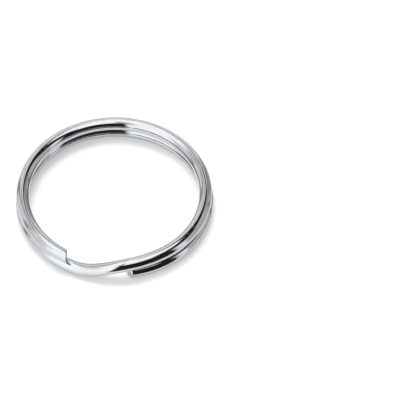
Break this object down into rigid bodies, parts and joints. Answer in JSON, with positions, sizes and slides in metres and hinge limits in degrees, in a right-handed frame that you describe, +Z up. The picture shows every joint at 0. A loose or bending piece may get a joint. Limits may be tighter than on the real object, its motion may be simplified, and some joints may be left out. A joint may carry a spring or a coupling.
{
  "type": "split key ring",
  "caption": "Split key ring of bright round wire wound into close stacked turns, with a stepped crossover and springy cut ends.",
  "frame": {"origin": "centre of the ring, on the surface it lies on, under the lower turn", "axes": "+Z up through the ring; -Y towards the crossover and the cut ends at the front; +X to the right"},
  "size_m": [0.0319, 0.032, 0.0043],
  "materials": {
    "plated_wire": "bright nickel plate over spring steel wire"
  },
  "bodies": {
    "lower_tip_wire": {"lower_tip": "plated_wire"},
    "lower_back_wire": {"lower_back": "plated_wire"},
    "crossover_wire": {"lower_left": "plated_wire", "crossover": "plated_wire", "upper_front": "plated_wire"},
    "upper_back_wire": {"upper_back": "plated_wire"},
    "upper_tip_wire": {"upper_tip": "plated_wire"}
  },
  "joints": [
    {"name": "lower_near_twist", "type": "hinge", "parent": "lower_tip_wire", "child": "lower_back_wire", "pos_m": [0.00743, 0.01297, 0.00105], "axis": [-0.8678, 0.497, 0], "range_deg": [0, 3.75], "stiffness_Nm_per_rad": 4.7},
    {"name": "lower_far_twist", "type": "hinge", "parent": "lower_back_wire", "child": "crossover_wire", "pos_m": [-0.01213, 0.00875, 0.00105], "axis": [-0.585, -0.8111, 0], "range_deg": [0, 3], "stiffness_Nm_per_rad": 5.6},
    {"name": "upper_far_twist", "type": "hinge", "parent": "crossover_wire", "child": "upper_back_wire", "pos_m": [0.0142, 0.00328, 0.0032], "axis": [-0.225, 0.9744, 0], "range_deg": [0, 3], "stiffness_Nm_per_rad": 5.6},
    {"name": "upper_near_twist", "type": "hinge", "parent": "upper_back_wire", "child": "upper_tip_wire", "pos_m": [-0.00178, 0.01446, 0.0032], "axis": [-0.9925, -0.1219, 0], "range_deg": [0, 3.75], "stiffness_Nm_per_rad": 4.7}
  ]
}
